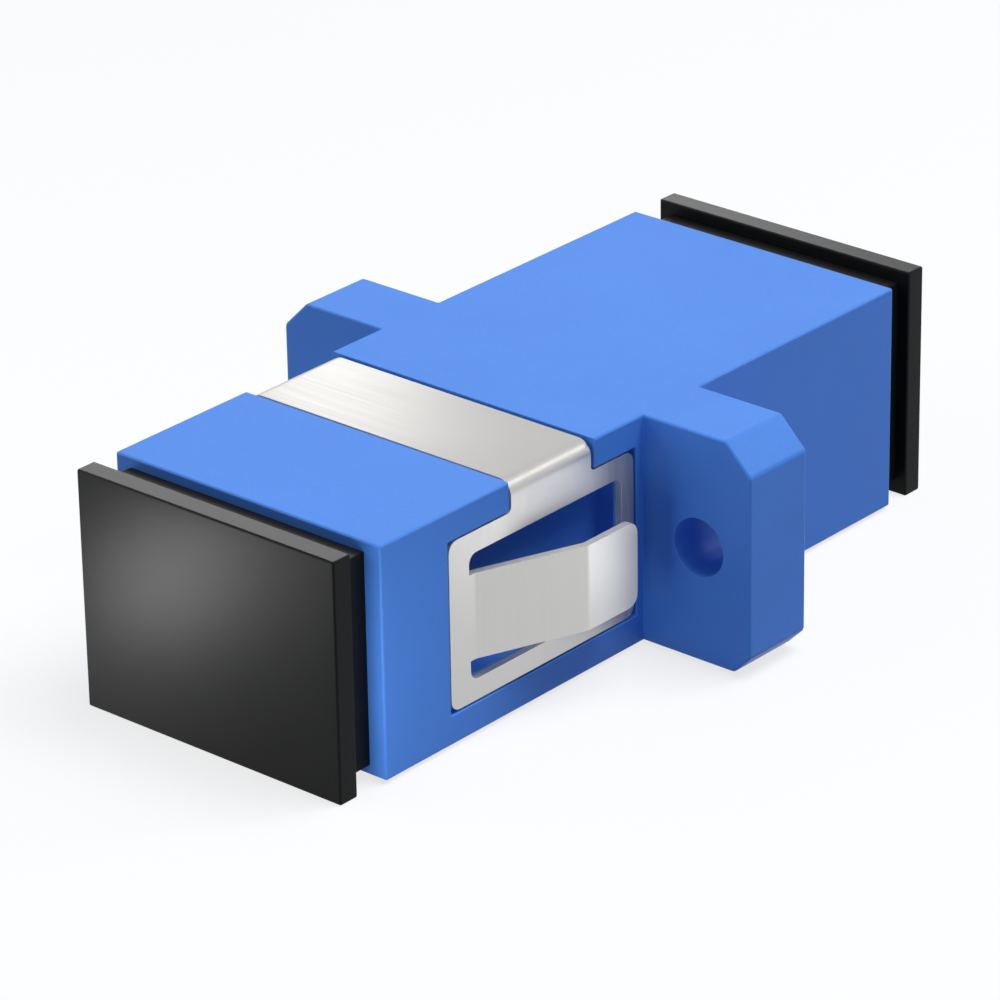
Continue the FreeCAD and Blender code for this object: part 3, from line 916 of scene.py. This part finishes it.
@dataclass
class Studio:
    """White table and room, soft lamps and the camera.

    Table and room are white where the camera or a reflection sees them. To the adapter they
    give a weaker and cooler light, which keeps its shaded sides dark and its blue clear.
    """

    azimuth: float = 40.994
    elevation: float = 24.985
    roll: float = -0.964
    distance_mm: float = 204.833
    target_mm: tuple[float, float, float] = (-0.574, 0.0, -0.875)
    focal_px: float = 5436.465
    image_px: float = 1000.0
    sensor_mm: float = 36.0
    nearest_mm: float = 10.0
    table_radius_mm: float = 600.0
    table_sides: int = 96
    table_seen: str = "#F8F8F8"
    table_given: str = "#5A7590"
    table_glow: float = 0.75
    room_seen: str = "#FDFDFD"
    room_given: str = "#C8E0FF"
    room_given_strength: float = 0.22
    # Each lamp has its name, its place, the point that it faces, its side and its watts. The
    # key and the fill light the whole adapter. The others draw the soft highlight on what
    # they are named for: the rim of the front mouth, the front cap's cover, the caps' top
    # edges, and the strap, tongue, leg and bend of the clip.
    lamps: tuple[Softbox, ...] = (
        Softbox("key", (105, 70, 330), (0, 0, 0), 220, 1.12, mirrored=False),
        Softbox("fill", (-75, -75, 30), (0, 0, 0), 110, 0.045),
        Softbox("rim", (8.5, -22, -1), (6, -14, 0), 7, 0.00075, ("housing",)),
        Softbox("cover", (-6.6, -22.2, -1.6), (-4.8, -16.6, -1.6), 4, 0.00147, ("front_cap",)),
        Softbox("edges", (-70, 66, 50), (0, 0, 4), 60, 0.075, ("front_cap", "rear_cap")),
        Softbox("strap", (-21.4, 12.8, 15.5), (-6, -5, 4.5), 8, 0.0005, ("panel_clip",)),
        Softbox("tongue", (15.5, 2, -3.5), (8, -4, 0), 5, 0.00016, ("panel_clip",)),
        Softbox("leg", (9.5, -1, 1.9), (6.5, -3, 3.2), 1.5, 0.000012, ("panel_clip",)),
        Softbox("bend", (130, 200, 180), (6, -5, 4), 55, 0.068),
    )

    @staticmethod
    def seen(tree: bpy.types.NodeTree) -> bpy.types.NodeSocket:
        """Tell what the camera, a reflection or a clear piece sees from what only gives light.

        Args:
            tree: node tree that needs to know.

        Returns:
            A socket that is one where the surface is seen and zero where it gives light.
        """
        rays = add_node(tree, "ShaderNodeLightPath").outputs
        seen = rays["Is Camera Ray"]
        for kind in ("Is Glossy Ray", "Is Transmission Ray"):
            either = {0: seen, 1: rays[kind]}
            seen = add_node(tree, "ShaderNodeMath", {"operation": "MAXIMUM"}, either).outputs[0]
        return seen

    def lay_table(self, level: float) -> None:
        """Lay the table, whose paint glows a little so that the shadow on it stays pale.

        Args:
            level: height of its top, in metres.
        """
        shape = bmesh.new()
        bmesh.ops.create_circle(
            shape, cap_ends=True, segments=self.table_sides, radius=self.table_radius_mm
        )
        bmesh.ops.translate(shape, vec=ALONG_Z * (level / MM), verts=shape.verts)
        material, tree = new_material("white_painted_table")
        seen = self.seen(tree)
        paint = add_node(
            tree,
            "ShaderNodeMix",
            {"data_type": "RGBA", 6: linear(self.table_given), 7: linear(self.table_seen)},
            {"Factor": seen},
        )
        matt = add_node(tree, "ShaderNodeBsdfDiffuse", links={"Color": paint.outputs[2]})
        glow = add_node(tree, "ShaderNodeEmission", {"Color": linear("#FFFFFF")})
        share = add_node(
            tree, "ShaderNodeMath", {"operation": "MULTIPLY", 1: self.table_glow}, {0: seen}
        )
        mixed = add_node(
            tree,
            "ShaderNodeMixShader",
            links={0: share.outputs[0], 1: matt.outputs[0], 2: glow.outputs[0]},
        )
        add_node(tree, "ShaderNodeOutputMaterial", links={"Surface": mixed.outputs[0]})
        finish_piece("table", shape, [material])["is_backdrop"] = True

    def paint_room(self) -> None:
        """Make the room white to the eye, with a weaker and cooler light on the adapter."""
        world = bpy.data.worlds.new("white_room")
        world.use_nodes = True
        tree = world.node_tree
        tree.nodes.clear()
        seen = self.seen(tree)
        strength = add_node(
            tree,
            "ShaderNodeMapRange",
            {"To Min": self.room_given_strength, "To Max": 1.0},
            {"Value": seen},
        )
        shade = add_node(
            tree,
            "ShaderNodeMix",
            {"data_type": "RGBA", 6: linear(self.room_given), 7: linear(self.room_seen)},
            {"Factor": seen},
        )
        sky = add_node(
            tree,
            "ShaderNodeBackground",
            links={"Color": shade.outputs[2], "Strength": strength.outputs[0]},
        )
        add_node(tree, "ShaderNodeOutputWorld", links={"Surface": sky.outputs[0]})
        bpy.context.scene.world = world

    def place_camera(self) -> None:
        """Set the camera where the photograph was taken from."""
        azimuth, elevation = math.radians(self.azimuth), math.radians(self.elevation)
        back = Vector(
            (
                math.sin(azimuth) * math.cos(elevation),
                -math.cos(azimuth) * math.cos(elevation),
                math.sin(elevation),
            )
        )
        right = Vector((math.cos(azimuth), math.sin(azimuth), 0))
        axes = Matrix((right, back.cross(right), back)).transposed()
        data = bpy.data.cameras.new("camera")
        data.sensor_width = self.sensor_mm
        data.lens = self.focal_px * self.sensor_mm / self.image_px
        data.clip_start = self.nearest_mm * MM
        camera = bpy.data.objects.new("camera", data)
        camera.rotation_mode = "QUATERNION"
        turned = axes @ Matrix.Rotation(math.radians(self.roll), 3, "Z")
        camera.rotation_quaternion = turned.to_quaternion()
        camera.location = (Vector(self.target_mm) + back * self.distance_mm) * MM
        bpy.context.scene.collection.objects.link(camera)
        bpy.context.scene.camera = camera

    def build(self, level: float, pieces: dict[str, bpy.types.Object]) -> None:
        """Set up the table, the room, the lamps and the camera.

        Args:
            level: height that the adapter stands at, in metres.
            pieces: pieces of the adapter by name.
        """
        bpy.context.scene.view_settings.view_transform = "Standard"
        self.lay_table(level)
        self.paint_room()
        for lamp in self.lamps:
            lamp.hang(pieces)
        self.place_camera()


def main() -> None:
    """Dress the solids, build the clip and the caps, and set up the studio."""
    logging.basicConfig(level=logging.INFO, format="%(name)s: %(message)s")
    cad_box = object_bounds()
    makers: dict[str, SolidPiece | PanelClip | DustCap] = {
        "housing": SolidPiece("housing", BLUE_PBT, edge_mm=0.03),
        "front_insert": SolidPiece("latch_insert_front", NATURAL_PBT, edge_mm=0.04),
        "rear_insert": SolidPiece("latch_insert_rear", NATURAL_PBT, edge_mm=0.04),
        "split_sleeve": SolidPiece("split_sleeve", GROUND_ZIRCONIA, edge_mm=0.02),
        "panel_clip": PanelClip(),
        "front_cap": DustCap(End.FRONT, mouth_mm=-14.4),
        "rear_cap": DustCap(End.REAR, mouth_mm=15.2),
    }
    pieces: dict[str, bpy.types.Object] = {}
    for name, maker in makers.items():
        pieces[name] = maker.build()
        LOG.info("%s ready, %d faces", name, len(pieces[name].data.polygons))
    Studio().build(cad_box[0].z, pieces)


if __name__ == "__main__":
    main()
